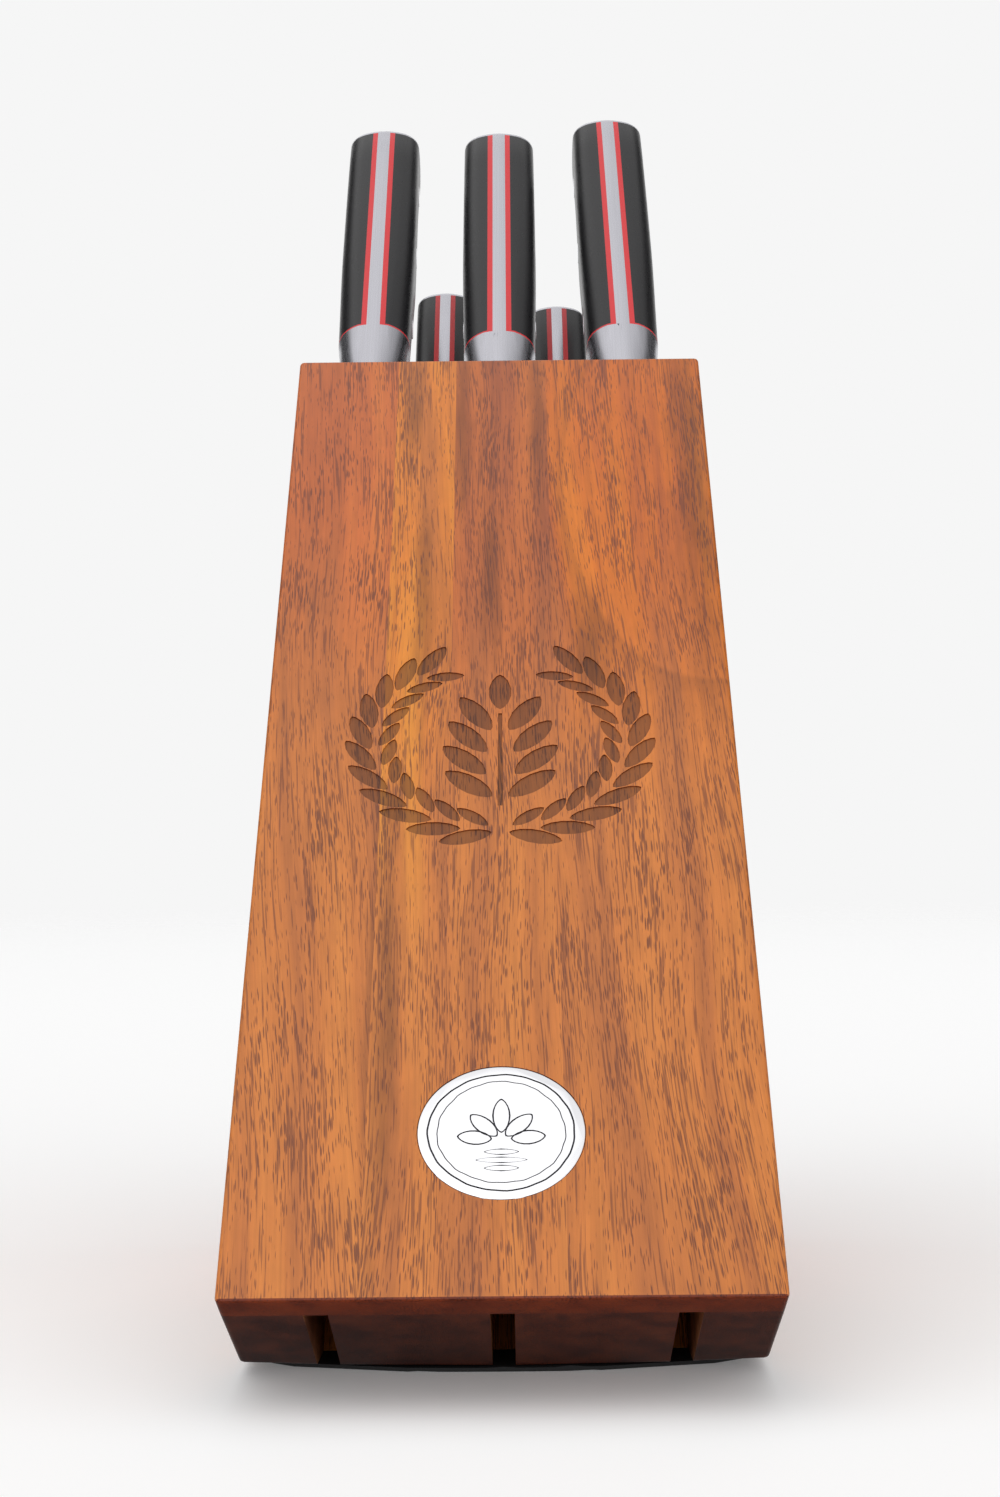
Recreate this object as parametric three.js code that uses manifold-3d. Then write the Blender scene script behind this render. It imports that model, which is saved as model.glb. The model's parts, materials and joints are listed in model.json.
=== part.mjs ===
// Slanted wooden knife block with five full-tang knives.
//
// Millimetres, +Z up, the block's front face towards -Y. The block is one slab of wood that leans
// back on a wedge-shaped foot, so everything except the foot pad is modelled in a tilted "slab
// frame": X across the block, Y into the slab from its front face, Z along the slab with 0 at its
// top face. Each knife has its own frame in its slot, with the same axes.

import * as THREE from 'three';
import { mergeVertices } from 'three/addons/utils/BufferGeometryUtils.js';
import Module from 'manifold-3d';

const wasm = await Module();
wasm.setup();

// ---------------------------------------------------------------- driving dimensions

const GAP = 0.15;                 // clearance between pieces that touch on the real block

const SLAB_LEAN = 45;             // degrees the slab leans back
const SLAB_WIDTH = 100;
const SLAB_DEPTH = 92;            // front face to back face
const FRONT_LENGTH = 283.4;       // front face, top edge to toe
const TOE_LENGTH = 45.2;          // bevelled toe face, front face to the ground
const TOE_ANGLE = 70.4;           // degrees between front face and toe face

const FRONT_SKIN = [0, 8.7];      // layers of the slab, as depths behind the front face
const FRONT_ROW = [8.7, 54];
const DIVIDER = [54, 58.5];
const REAR_ROW = [58.5, 84.5];
const BACK_SKIN = [84.5, SLAB_DEPTH];

const SKIN_JOINTS = [-25, -10.6, 11.6];   // glue joints between the four strips of the front skin
const FRONT_SLOTS = [-33, 0, 33.4];       // slot centres of the front row
const REAR_SLOTS = [-16.5, 16.5];         // slot centres of the rear row
const SLOT_WIDTH = 4.4;

const FOOT_REACH = 168;           // ground line, slab contact edge to the back of the foot
const PAD_THICKNESS = 1.2;
const PAD_BOW = 5.5;              // how far the pad's front edge falls back at its ends

const BADGE_RADIUS = 15.5;
const BADGE_THICKNESS = 1.5;
const BADGE_HEIGHT = -246.5;      // badge centre along the slab

const LINER_THICKNESS = 1.1;
const LINER_FLANGE = 0.6;         // turned end of a liner, between bolster and scale
const CAP_THICKNESS = 1.8;
const REST_GAP = 0.3;             // bolster to the slab's top face
const RIVET_RADIUS = 3;

// One entry per knife. spine and blade heights are depths in the slab frame, lengths run along it.
// lean turns the knife a little in its slot, about a point pivot below the top face.
const KNIVES = [
  { name: 'slicer', slot: FRONT_SLOTS[0], spine: 8.5, bladeSpine: 9.4, tip: 129.1, bolster: 28.7,
    halfWidth: 9.65, tang: 3.6, blade: 235, height: 34, point: 9, lean: 0, rivets: [44, 79, 112] },
  { name: 'santoku', slot: FRONT_SLOTS[1], spine: 8.5, bladeSpine: 9.4, tip: 127.1, bolster: 25,
    halfWidth: 9.65, tang: 3.6, blade: 178, height: 43.6, point: 34, lean: 0, rivets: [42, 77, 110] },
  { name: 'chef', slot: FRONT_SLOTS[2], spine: 8.5, bladeSpine: 9.4, tip: 133.9, bolster: 27.8,
    halfWidth: 9.65, tang: 3.6, blade: 203, height: 43.6, point: 15, lean: -0.5, rivets: [45, 81, 116] },
  { name: 'utility', slot: REAR_SLOTS[0], spine: 58.6, bladeSpine: 59.2, tip: 120.8, bolster: 22,
    halfWidth: 8.2, tang: 3.2, blade: 140, height: 24, point: 7, lean: 0, rivets: [42, 95] },
  { name: 'paring', slot: REAR_SLOTS[1], spine: 58.6, bladeSpine: 59.2, tip: 113.2, bolster: 20,
    halfWidth: 8.2, tang: 3.2, blade: 90, height: 21, point: 7, lean: 0, rivets: [39, 89] },
];
const BLADE_THICKNESS = 2;
const LEAN_PIVOT = -100;          // depth of the point that a leaning knife turns about

// ---------------------------------------------------------------- materials

const wood = (color) => ({ color, roughness: 0.5, metalness: 0 });
const WOODS = {
  red: wood(0xa85c2f), gold: wood(0xc07c38), brown: wood(0x96592c), orange: wood(0xb9692f),
  core: wood(0x8a5230), dark: wood(0x6f4327),
};
const STEEL = { color: 0xc6c6cc, roughness: 0.35, metalness: 1 };
const POLISHED = { color: 0xe6e6ea, roughness: 0.12, metalness: 1 };
const RED_LINER = { color: 0xc8262e, roughness: 0.4, metalness: 0 };
const BLACK_SCALE = { color: 0x1c1c1e, roughness: 0.42, metalness: 0 };
const RUBBER = { color: 0x2a2a2a, roughness: 0.9, metalness: 0 };

// ---------------------------------------------------------------- solids

// Turns a closed three.js geometry into a solid for cutting and joining.
function solid(geometry) {
  const bare = geometry.clone();
  bare.deleteAttribute('normal');
  bare.deleteAttribute('uv');
  const merged = mergeVertices(bare, 1e-4);
  return new wasm.Manifold(new wasm.Mesh({
    numProp: 3,
    vertProperties: new Float32Array(merged.attributes.position.array),
    triVerts: new Uint32Array(merged.index.array),
  }));
}

// Turns a solid back into a three.js geometry.
function geometryOf(body) {
  const { vertProperties, triVerts } = body.getMesh();
  const geometry = new THREE.BufferGeometry();
  geometry.setAttribute('position', new THREE.BufferAttribute(vertProperties, 3));
  geometry.setIndex(new THREE.BufferAttribute(triVerts, 1));
  geometry.computeVertexNormals();
  return geometry;
}

function piece(name, geometry, finish) {
  const mesh = new THREE.Mesh(geometry, new THREE.MeshStandardMaterial(finish));
  mesh.name = name;
  return mesh;
}

function box(x, y, z) {
  const geometry = new THREE.BoxGeometry(x[1] - x[0], y[1] - y[0], z[1] - z[0]);
  return geometry.translate((x[0] + x[1]) / 2, (y[0] + y[1]) / 2, (z[0] + z[1]) / 2);
}

// Extrudes an outline drawn in the slab's side view, as [depth, height] points, across X.
function sidePlate(shape, x, curveSegments = 8) {
  const geometry = new THREE.ExtrudeGeometry(shape, { depth: x[1] - x[0], bevelEnabled: false, curveSegments });
  geometry.applyMatrix4(new THREE.Matrix4().makeBasis(
    new THREE.Vector3(0, 1, 0), new THREE.Vector3(0, 0, 1), new THREE.Vector3(1, 0, 0)));
  return geometry.translate(x[0], 0, 0);
}

// ---------------------------------------------------------------- slab

const toeRun = TOE_LENGTH * Math.cos(THREE.MathUtils.degToRad(TOE_ANGLE));
const contact = {                                   // the slab's front ground edge, in the slab frame
  y: TOE_LENGTH * Math.sin(THREE.MathUtils.degToRad(TOE_ANGLE)),
  z: toeRun - FRONT_LENGTH,
};
const groundSlope = 1 / Math.tan(THREE.MathUtils.degToRad(90 - SLAB_LEAN));

// Height of the slab's lower end at a depth: the toe face first, then the ground.
function lowerEnd(depth) {
  if (depth <= contact.y) return -FRONT_LENGTH + (depth * toeRun) / contact.y;
  return contact.z + (depth - contact.y) * groundSlope;
}

// One straight-grained piece of the slab between two depths and two sides.
function stave([near, far], [left, right]) {
  const depths = [near + GAP / 2, far - GAP / 2];
  const lower = depths[0] < contact.y && contact.y < depths[1] ? [depths[0], contact.y, depths[1]] : depths;
  const outline = [[depths[1], 0], [depths[0], 0], ...lower.map((depth) => [depth, lowerEnd(depth)])];
  const shape = new THREE.Shape(outline.map(([y, z]) => new THREE.Vector2(y, z)));
  return sidePlate(shape, [left + GAP / 2, right - GAP / 2]);
}

// The staves of a row stand between its slots and the slab's two sides.
function rowOfStaves(prefix, layer, slots, finish) {
  const half = SLAB_WIDTH / 2;
  const edges = [-half, ...slots.flatMap((x) => [x - SLOT_WIDTH / 2, x + SLOT_WIDTH / 2]), half];
  const meshes = [];
  for (let i = 0; i < edges.length; i += 2) {
    const name = `${prefix}_${i / 2 + 1}`;
    meshes.push(piece(name, stave(layer, [edges[i] - GAP / 2, edges[i + 1] + GAP / 2]), finish));
  }
  return meshes;
}

function badgeDisc(radius, near, far) {
  return new THREE.CylinderGeometry(radius, radius, far - near, 32)
    .translate(0, (near + far) / 2, BADGE_HEIGHT);
}

// The front skin is four strips of differently coloured wood, and the badge sits in a pocket in three.
function frontStrips() {
  const half = SLAB_WIDTH / 2;
  const edges = [-half, ...SKIN_JOINTS, half];
  const pocket = solid(badgeDisc(BADGE_RADIUS + GAP, -1, BADGE_THICKNESS + GAP));
  const finishes = [WOODS.red, WOODS.gold, WOODS.brown, WOODS.orange];
  return finishes.map((finish, i) => {
    const strip = solid(stave(FRONT_SKIN, [edges[i], edges[i + 1]])).subtract(pocket);
    return piece(`front_strip_${i + 1}`, geometryOf(strip), finish);
  });
}

// Triangular wedge glued to the slab's back, standing on the ground with an upright rear face.
function footWedge() {
  const lean = THREE.MathUtils.degToRad(SLAB_LEAN);
  const heel = { y: SLAB_DEPTH + GAP, z: lowerEnd(SLAB_DEPTH + GAP) };
  const run = FOOT_REACH - (SLAB_DEPTH - contact.y) / Math.cos(lean);
  const shape = new THREE.Shape([
    new THREE.Vector2(heel.y, heel.z),
    new THREE.Vector2(heel.y + run * Math.cos(lean), heel.z + run * Math.sin(lean)),
    new THREE.Vector2(heel.y, heel.z + run / Math.sin(lean)),
  ]);
  return sidePlate(shape, [-SLAB_WIDTH / 2, SLAB_WIDTH / 2]);
}

function slab() {
  const half = SLAB_WIDTH / 2;
  const group = new THREE.Group();
  group.add(
    ...frontStrips(),
    ...rowOfStaves('front_row_stave', FRONT_ROW, FRONT_SLOTS, WOODS.core),
    piece('divider_board', stave(DIVIDER, [-half, half]), WOODS.dark),
    ...rowOfStaves('rear_row_stave', REAR_ROW, REAR_SLOTS, WOODS.core),
    piece('back_board', stave(BACK_SKIN, [-half, half]), WOODS.orange),
    piece('rear_foot', footWedge(), WOODS.orange),
    piece('badge', badgeDisc(BADGE_RADIUS, 0, BADGE_THICKNESS), POLISHED),
  );
  return group;
}

// ---------------------------------------------------------------- knives

const HANDLE_HEIGHT = 26;         // height of the section that the handle is lofted from
const SPINE_CROWN = 5.3;          // rise of the rounded spine side
const BELLY_CROWN = 6;            // rise of the rounded belly side
const FLANK_BULGE = 0.5;

// Cross-section of a handle: a rounded spine, two slightly full flanks and a rounded belly.
function handleSection(halfWidth) {
  const arcRadius = (rise) => (halfWidth ** 2 + rise ** 2) / (2 * rise);
  const spineRadius = arcRadius(SPINE_CROWN);
  const bellyRadius = arcRadius(BELLY_CROWN);
  const spineAngle = Math.atan2(SPINE_CROWN - spineRadius, halfWidth);
  const bellyAngle = Math.atan2(bellyRadius - BELLY_CROWN, halfWidth);
  const control = halfWidth + 2 * FLANK_BULGE;
  const shape = new THREE.Shape();
  shape.absarc(0, spineRadius, spineRadius, -Math.PI - spineAngle, spineAngle, false);
  shape.quadraticCurveTo(control, HANDLE_HEIGHT / 2, halfWidth, HANDLE_HEIGHT - BELLY_CROWN);
  shape.absarc(0, HANDLE_HEIGHT - bellyRadius, bellyRadius, bellyAngle, Math.PI - bellyAngle, false);
  shape.quadraticCurveTo(-control, HANDLE_HEIGHT / 2, -halfWidth, SPINE_CROWN);
  return shape;
}

// Belly line: handle height along the handle, from the bolster's foot (0) to the butt (1).
const HEIGHT_CURVE = new THREE.SplineCurve([
  [0, 21], [0.22, 22.5], [0.5, 25.5], [0.76, 23], [1, 28],
].map(([x, y]) => new THREE.Vector2(x, y)));

function handleHeight(along) {
  return HEIGHT_CURVE.getPoint(along).y;
}

// The whole grip as one solid: the section swept from the bolster's foot to the butt.
function handleBody(knife) {
  const length = knife.tip - REST_GAP;
  const sizeRatio = knife.halfWidth / KNIVES[0].halfWidth;
  const geometry = new THREE.ExtrudeGeometry(handleSection(knife.halfWidth), {
    depth: length, steps: 6, bevelEnabled: false, curveSegments: 4,
  });
  const position = geometry.attributes.position;
  for (let i = 0; i < position.count; i += 1) {
    const z = position.getZ(i);
    const along = z / length;
    const height = handleHeight(along) * sizeRatio;
    const y = (position.getY(i) * height) / HANDLE_HEIGHT;
    // the grip is a little slimmer towards the bolster, and the bolster's spine narrows to the blade
    const swell = 0.93 + 0.07 * THREE.MathUtils.smoothstep(along, 0.15, 0.55);
    const pinch = 0.5 * (1 - THREE.MathUtils.smoothstep(z, 0, knife.bolster));
    const nearSpine = Math.max(0, 1 - y / (0.45 * height));
    position.setXYZ(i, position.getX(i) * swell * (1 - pinch * nearSpine), knife.spine + y, REST_GAP + z);
  }
  return solid(geometry);
}

// Side view of a blade. Its heel is buried in the bolster, and its edge is the deep side.
function bladeOutline(knife) {
  const { bladeSpine: spine, blade, height, point } = knife;
  const edge = spine + height;
  const bolsterHeight = (HEIGHT_CURVE.getPoint(0).y * knife.halfWidth) / KNIVES[0].halfWidth;
  const throat = knife.spine + bolsterHeight - 3;
  const shape = new THREE.Shape();
  shape.moveTo(spine + 1, 8);
  shape.lineTo(spine, REST_GAP);
  shape.lineTo(spine, -0.6 * blade);
  shape.quadraticCurveTo(spine, -0.86 * blade, spine + point, -blade);
  shape.quadraticCurveTo(edge, -0.84 * blade, edge, -0.55 * blade);
  shape.lineTo(edge, -6);
  shape.lineTo(edge - 1.5, -3);
  shape.lineTo(throat, -2);
  shape.lineTo(throat, 8);
  return shape;
}

function rivetHoles(knife, radius) {
  const holes = knife.rivets.map((z) => solid(rivet(knife, z, radius, 2 * knife.halfWidth)));
  return holes.reduce((all, hole) => all.add(hole));
}

// A rivet lies across the handle at mid height.
function rivet(knife, z, radius, halfLength) {
  const along = (z - REST_GAP) / (knife.tip - REST_GAP);
  const middle = knife.spine + (handleHeight(along) * knife.halfWidth) / KNIVES[0].halfWidth / 2;
  return new THREE.CylinderGeometry(radius, radius, 2 * halfLength, 10)
    .rotateZ(Math.PI / 2).translate(0, middle, z);
}

function knifePieces(knife) {
  const body = handleBody(knife);
  const holes = rivetHoles(knife, RIVET_RADIUS + GAP);
  const reach = [-200, 200];
  const capStart = knife.tip - CAP_THICKNESS;
  const halfTang = knife.tang / 2;
  const scaleInner = halfTang + GAP + LINER_THICKNESS;
  const slice = (x, z) => body.intersect(solid(box(x, reach, z)));

  const bolster = slice(reach, [-1, knife.bolster]);
  const tang = slice([-halfTang, halfTang], [knife.bolster - 1, capStart - GAP]).subtract(holes);
  const blade = solid(sidePlate(bladeOutline(knife), [-BLADE_THICKNESS / 2, BLADE_THICKNESS / 2], 6));
  const pieces = [
    piece(`${knife.name}_blade`, geometryOf(blade.add(bolster).add(tang)), STEEL),
    piece(`${knife.name}_butt_cap`, geometryOf(slice(reach, [capStart, knife.tip + 1])), STEEL),
  ];

  const flangeEnd = knife.bolster + GAP + LINER_FLANGE;
  for (const [side, sign] of [['left', -1], ['right', 1]]) {
    const across = (near, far) => (sign > 0 ? [near, far] : [-far, -near]);
    const liner = slice(across(halfTang + GAP, scaleInner), [knife.bolster + GAP, capStart - GAP])
      .add(slice(across(halfTang + GAP, 50), [knife.bolster + GAP, flangeEnd]))
      .subtract(holes);
    const scale = slice(across(scaleInner + GAP, 50), [flangeEnd + GAP, capStart - GAP]).subtract(holes);
    pieces.push(
      piece(`${knife.name}_liner_${side}`, geometryOf(liner), RED_LINER),
      piece(`${knife.name}_scale_${side}`, geometryOf(scale), BLACK_SCALE),
    );
  }
  knife.rivets.forEach((z, i) => {
    const flush = knife.halfWidth * 0.96;
    pieces.push(piece(`${knife.name}_rivet_${i + 1}`, rivet(knife, z, RIVET_RADIUS, flush), POLISHED));
  });
  return pieces;
}

// A knife in its slot, turned about a point deep in the slot if it leans.
function placedKnife(knife) {
  const content = new THREE.Group();
  content.add(...knifePieces(knife));
  content.position.z = -LEAN_PIVOT;
  const group = new THREE.Group();
  group.add(content);
  group.position.set(knife.slot, 0, LEAN_PIVOT);
  group.rotation.y = THREE.MathUtils.degToRad(knife.lean);
  return group;
}

// ---------------------------------------------------------------- pad and assembly

// Rubber sheet under slab and foot. Its front edge is an arc that falls back at both ends.
function footPad() {
  const half = SLAB_WIDTH / 2;
  const radius = (half ** 2 + PAD_BOW ** 2) / (2 * PAD_BOW);
  const angle = Math.asin(half / radius);
  const inset = 0.5;
  const shape = new THREE.Shape();
  shape.absarc(0, radius, radius, -Math.PI / 2 - angle, -Math.PI / 2 + angle, false);
  shape.lineTo(half, FOOT_REACH - inset);
  shape.lineTo(-half, FOOT_REACH - inset);
  return new THREE.ExtrudeGeometry(shape, {
    depth: PAD_THICKNESS - GAP, bevelEnabled: false, curveSegments: 16,
  });
}

// The slab frame, turned back and set with its contact edge on top of the pad's front edge.
function tilted(...children) {
  const group = new THREE.Group();
  group.add(...children);
  const lean = THREE.MathUtils.degToRad(SLAB_LEAN);
  const edge = new THREE.Vector3(0, contact.y, contact.z).applyAxisAngle(new THREE.Vector3(1, 0, 0), -lean);
  group.rotation.x = -lean;
  group.position.set(0, -edge.y, PAD_THICKNESS - edge.z);
  return group;
}

// Moves a group so that the origin is under the middle of its box.
function standOnOrigin(group) {
  group.updateMatrixWorld(true);
  const bounds = new THREE.Box3().setFromObject(group, true);
  const middle = bounds.getCenter(new THREE.Vector3());
  group.position.set(-middle.x, -middle.y, -bounds.min.z);
  return group;
}

const knifeBlock = new THREE.Group();
knifeBlock.name = 'knife_block';
knifeBlock.add(
  tilted(slab(), ...KNIVES.map(placedKnife)),
  piece('foot_pad', footPad(), RUBBER),
);

export default standOnOrigin(knifeBlock);
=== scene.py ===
"""Builds a slanted wooden knife block with five full-tang knives, piece by piece.

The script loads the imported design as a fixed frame, registers one operator for each group of
pieces, calls them in order, and leaves a finished scene with a stage, lights and a camera.
Shapes are modelled in millimetres in the slab's or a knife's own frame, then placed in metres.
"""

import json
import math

import bmesh
import bpy
from bpy.props import FloatProperty, FloatVectorProperty, PointerProperty, StringProperty
from mathutils import Matrix, Vector


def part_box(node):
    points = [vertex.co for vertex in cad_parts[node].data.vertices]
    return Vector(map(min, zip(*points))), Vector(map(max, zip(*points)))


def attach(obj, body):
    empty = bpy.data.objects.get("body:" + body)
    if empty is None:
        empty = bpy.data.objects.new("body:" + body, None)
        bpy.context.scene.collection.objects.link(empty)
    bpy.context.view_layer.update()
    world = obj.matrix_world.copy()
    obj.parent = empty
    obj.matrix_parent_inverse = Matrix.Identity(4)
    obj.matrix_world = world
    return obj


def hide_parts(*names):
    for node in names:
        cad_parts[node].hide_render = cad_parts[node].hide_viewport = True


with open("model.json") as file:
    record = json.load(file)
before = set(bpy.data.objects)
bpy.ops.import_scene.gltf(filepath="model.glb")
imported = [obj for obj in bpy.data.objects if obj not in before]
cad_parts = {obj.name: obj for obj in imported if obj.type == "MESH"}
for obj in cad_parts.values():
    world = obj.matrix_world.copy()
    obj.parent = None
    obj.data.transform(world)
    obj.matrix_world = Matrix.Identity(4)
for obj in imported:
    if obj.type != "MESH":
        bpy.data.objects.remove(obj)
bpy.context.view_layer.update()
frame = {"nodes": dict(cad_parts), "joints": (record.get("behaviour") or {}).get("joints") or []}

bl_info = {
    "name": "Knife Block Builder",
    "version": (1, 0, 0),
    "blender": (4, 5, 0),
    "location": "3D View > Sidebar > Knife Block",
    "description": "Models a wooden knife block with its knives around a fixed frame",
    "category": "Add Mesh",
}

MM = 0.001
BLOCK = "block"           # the CAD body of everything but the knives
KNIVES = ("slicer", "santoku", "chef", "utility", "paring")
GLUE_GAP = 0.15           # gap between two CAD boards that touch on the real block, in millimetres


# ---------------------------------------------------------------- frames and measures

def axes_matrix(across, depth, along, origin):
    """Places a millimetre frame that has these axes at an origin in metres."""
    turn = Matrix((across, depth, along)).transposed().to_4x4()
    return Matrix.Translation(origin) @ turn @ Matrix.Scale(MM, 4)


def local_box(node, place):
    """Lowest and highest corner of a CAD node, in the millimetre frame that place puts in the row."""
    inverse = place.inverted()
    points = [inverse @ vertex.co for vertex in frame["nodes"][node].data.vertices]
    return [Vector([pick(point[i] for point in points) for i in range(3)]) for pick in (min, max)]


def joint_axis(joint_name):
    axis = next(joint["axis"] for joint in frame["joints"] if joint["name"] == joint_name)
    return Vector(axis).normalized()


def slab_place():
    """The slab's frame: X across, Y into it from its front face, Z along it, 0 at its top front edge."""
    along = joint_axis("santoku_pull")
    across = Vector((1, 0, 0))
    depth = along.cross(across)
    unmoved = axes_matrix(across, depth, along, Vector())
    low, high = local_box("front_strip_1", unmoved)
    corner = unmoved @ Vector((0, low.y - GLUE_GAP / 2, high.z))
    return axes_matrix(across, depth, along, corner)


SLAB = slab_place()


def knife_place(knife):
    """A knife's frame: the slab's axes turned with the knife in its slot, 0 at the slab's top face."""
    along = joint_axis(f"{knife}_pull")
    depth = SLAB.col[1].xyz.normalized()
    low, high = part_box(f"{knife}_rivet_1")
    rivet = (low + high) / 2
    in_slab = SLAB.inverted() @ rivet
    rise = in_slab.z * MM / along.dot(SLAB.col[2].xyz.normalized())
    origin = rivet - rise * along - in_slab.y * MM * depth
    return axes_matrix(depth.cross(along), depth, along, origin)


# ---------------------------------------------------------------- materials

def colour(code):
    """sRGB hex to the linear colour that shaders use."""
    channels = [int(code[i:i + 2], 16) / 255 for i in (1, 3, 5)]
    return [c / 12.92 if c <= 0.04045 else ((c + 0.055) / 1.055) ** 2.4 for c in channels] + [1.0]


def darker(base, share):
    """A linear colour with its light cut by a share."""
    return [channel * (1 - share) for channel in base[:3]] + [1.0]


def given(node):
    """The first output that a node gives with its present options."""
    return next(output for output in node.outputs if output.enabled)


def add(tree, kind, inputs=None, stops=(), **settings):
    """Adds a shader node, sets its options and its ramp's stops, and sets or links its inputs.

    An input takes a value, a socket, or a node, which stands for the output it gives. A stop is a
    place and a colour, or a place and a grey.
    """
    node = tree.nodes.new("ShaderNode" + kind)
    for name, value in settings.items():
        setattr(node, name, value)
    for _ in stops[2:]:
        node.color_ramp.elements.new(0.5)
    for index, (position, value) in enumerate(stops):
        node.color_ramp.elements[index].position = position
        node.color_ramp.elements[index].color = value if isinstance(value, list) else (value, value, value, 1)
    for key, value in (inputs or {}).items():
        if isinstance(value, bpy.types.Node):
            value = given(value)
        if isinstance(value, bpy.types.NodeSocket):
            tree.links.new(value, node.inputs[key])
        else:
            node.inputs[key].default_value = value
    return node


def calc(tree, operation, *values):
    return add(tree, "Math", dict(enumerate(values)), operation=operation)


def vector_calc(tree, operation, *values):
    return add(tree, "VectorMath", dict(enumerate(values)), operation=operation)


def remap(tree, value, low, high, to_low=0.0, to_high=1.0, **settings):
    """Stretches a range of values to another, and holds what lies outside at its ends."""
    ends = {"From Min": low, "From Max": high, "To Min": to_low, "To Max": to_high}
    return add(tree, "MapRange", {"Value": value, **ends}, **settings)


def mixed(tree, factor, colour_a, colour_b, blend_type="MIX"):
    """A Mix of two colours, which are its inputs 6 and 7; those before are for its other types."""
    return add(tree, "Mix", {0: factor, 6: colour_a, 7: colour_b}, data_type="RGBA", blend_type=blend_type)


def new_material(name, shader):
    """A material whose Principled shader has these constant values on its own sockets."""
    material = bpy.data.materials.new(name)
    material.use_nodes = True
    bsdf = material.node_tree.nodes["Principled BSDF"]
    for socket, value in shader.items():
        bsdf.inputs[socket].default_value = value
    return material, material.node_tree, bsdf


def slab_coordinates(tree, offset=(0, 0, 0), lean=0.0):
    """Object coordinates as millimetres along the slab's own axes, so the grain runs along it.

    lean turns them by some degrees across the front face, as grain that isn't quite straight.
    """
    turn = Matrix.Rotation(math.radians(lean), 3, "Y").to_quaternion() @ SLAB.to_quaternion().inverted()
    return add(tree, "Mapping", {
        "Vector": add(tree, "TexCoord").outputs["Object"],
        "Location": Vector(offset) - (turn @ SLAB.translation) / MM,
        "Rotation": turn.to_euler(), "Scale": (1 / MM,) * 3})


def flecks(tree, at, width, length, detail=2.0, roughness=0.5):
    """Soft flecks about width across the grain and length along it, in millimetres."""
    scaled = vector_calc(tree, "MULTIPLY", at, (1 / width, 1 / width, 1 / length))
    return add(tree, "TexNoise", {"Vector": scaled, "Scale": 1.0, "Detail": detail, "Roughness": roughness})


# Tones of the acacia boards: dark streaks, body and light streaks.
WOODS = {
    "ruddy": ("#b65c28", "#c4652a", "#cd6f2b"),
    "gold": ("#be6c2a", "#d57a25", "#e08c28"),
    "brown": ("#a0522a", "#b45e29", "#c26828"),
    "orange": ("#b85c22", "#cc6918", "#d67518"),
    "common": ("#b56831", "#c77432", "#d17e36"),
    "core": ("#7a4a34", "#96603e", "#a86e44"),
    "heart": ("#8a5232", "#a86a3e", "#b87c48"),
}
TONE_PLACES = (0.36, 0.5, 0.66)
PORE_COLOUR = "#5c2c20"
# the tint and roughness of wood that is cut across the grain, or etched; the end-grain tint is
# partly the real darker oiled end grain and partly painted shade on the toe, which faces away from the light
CUTS = {"long": None, "end": ("#9a6a54", 0.42), "etched": ("#b2b0b2", 0.6)}

BOARDS = {
    # upper tone, lower tone, height where they meet, lean in degrees, and dark streaks, each with
    # its middle and half sizes across and along the slab
    "front_strip_1": ("ruddy", "common", -110, 3, ((-24, -210, 2.2, 60),)),
    "front_strip_2": ("gold", "common", -150, 0, (
        (-17.3, -96, 2.2, 36), (-21, -24, 2.6, 20), (-22, -215, 2.6, 60))),
    "front_strip_3": ("brown", "common", -125, 1, (
        (-9.0, -26, 2.4, 40), (9.5, -30, 2.6, 34), (-2, -86, 2.6, 30))),
    "front_strip_4": ("orange", "common", -120, 2, ((46, -50, 4.5, 70), (20, -112, 5, 18))),
    "front_row_stave_1": ("core", "core", -100, 1, ()),
    "front_row_stave_2": ("core", "core", -100, -1, ()),
    "front_row_stave_3": ("heart", "heart", -100, 2, ()),
    "front_row_stave_4": ("core", "core", -100, 0, ()),
    "divider_board": ("common", "common", -100, 1, ()),
    "rear_row_stave_1": ("heart", "heart", -100, 1, ()),
    "rear_row_stave_2": ("core", "core", -100, -1, ()),
    "rear_row_stave_3": ("heart", "heart", -100, 0, ()),
    "back_board": ("orange", "ruddy", -120, 1, ((-12, -120, 3, 90),)),
    "rear_foot": ("ruddy", "ruddy", -200, 0, ()),
}
BLEND = (15, 115)         # a board's tones blend between these heights above where they meet

# a growth line that curves through one strip: its middle, its radii, how far it wavers, and the
# light along half the radius
ARCHED_BOARD = "front_strip_4"
ARCH_MIDDLE = Vector((50, 0, -50))
ARCH_RADII = (35.5, 60, 74)
ARCH_WAVER = 0.25
ARCH_LIGHT = ((0.2, 0.95), (0.36, 0.96), (0.5, 0.98), (0.55, 0.98), (0.56, 0.76), (0.6, 0.9), (0.7, 1.0))

# flecks in the wood: width and length in millimetres, then detail and roughness
SWAY = (45, 130, 1.0)                     # where the grain bends aside, by up to SWAY_REACH
SWAY_REACH = 14.0
FIGURE = (8, 150, 3.0, 0.55)
FIBRES = (0.7, 60, 3.0, 0.6)
MOTTLE = (3.5, 7, 3.0)
STREAK_EDGE = (2.2, 16, 3.0)
CROWDING = (7, 30, 2.0)                   # bands where pores crowd together
LONG_PORES = (0.34, 13, 1.0, 0.4)
SHORT_PORES = (0.37, 0.37, 4.8)           # spacing across, into and along the grain


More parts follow.
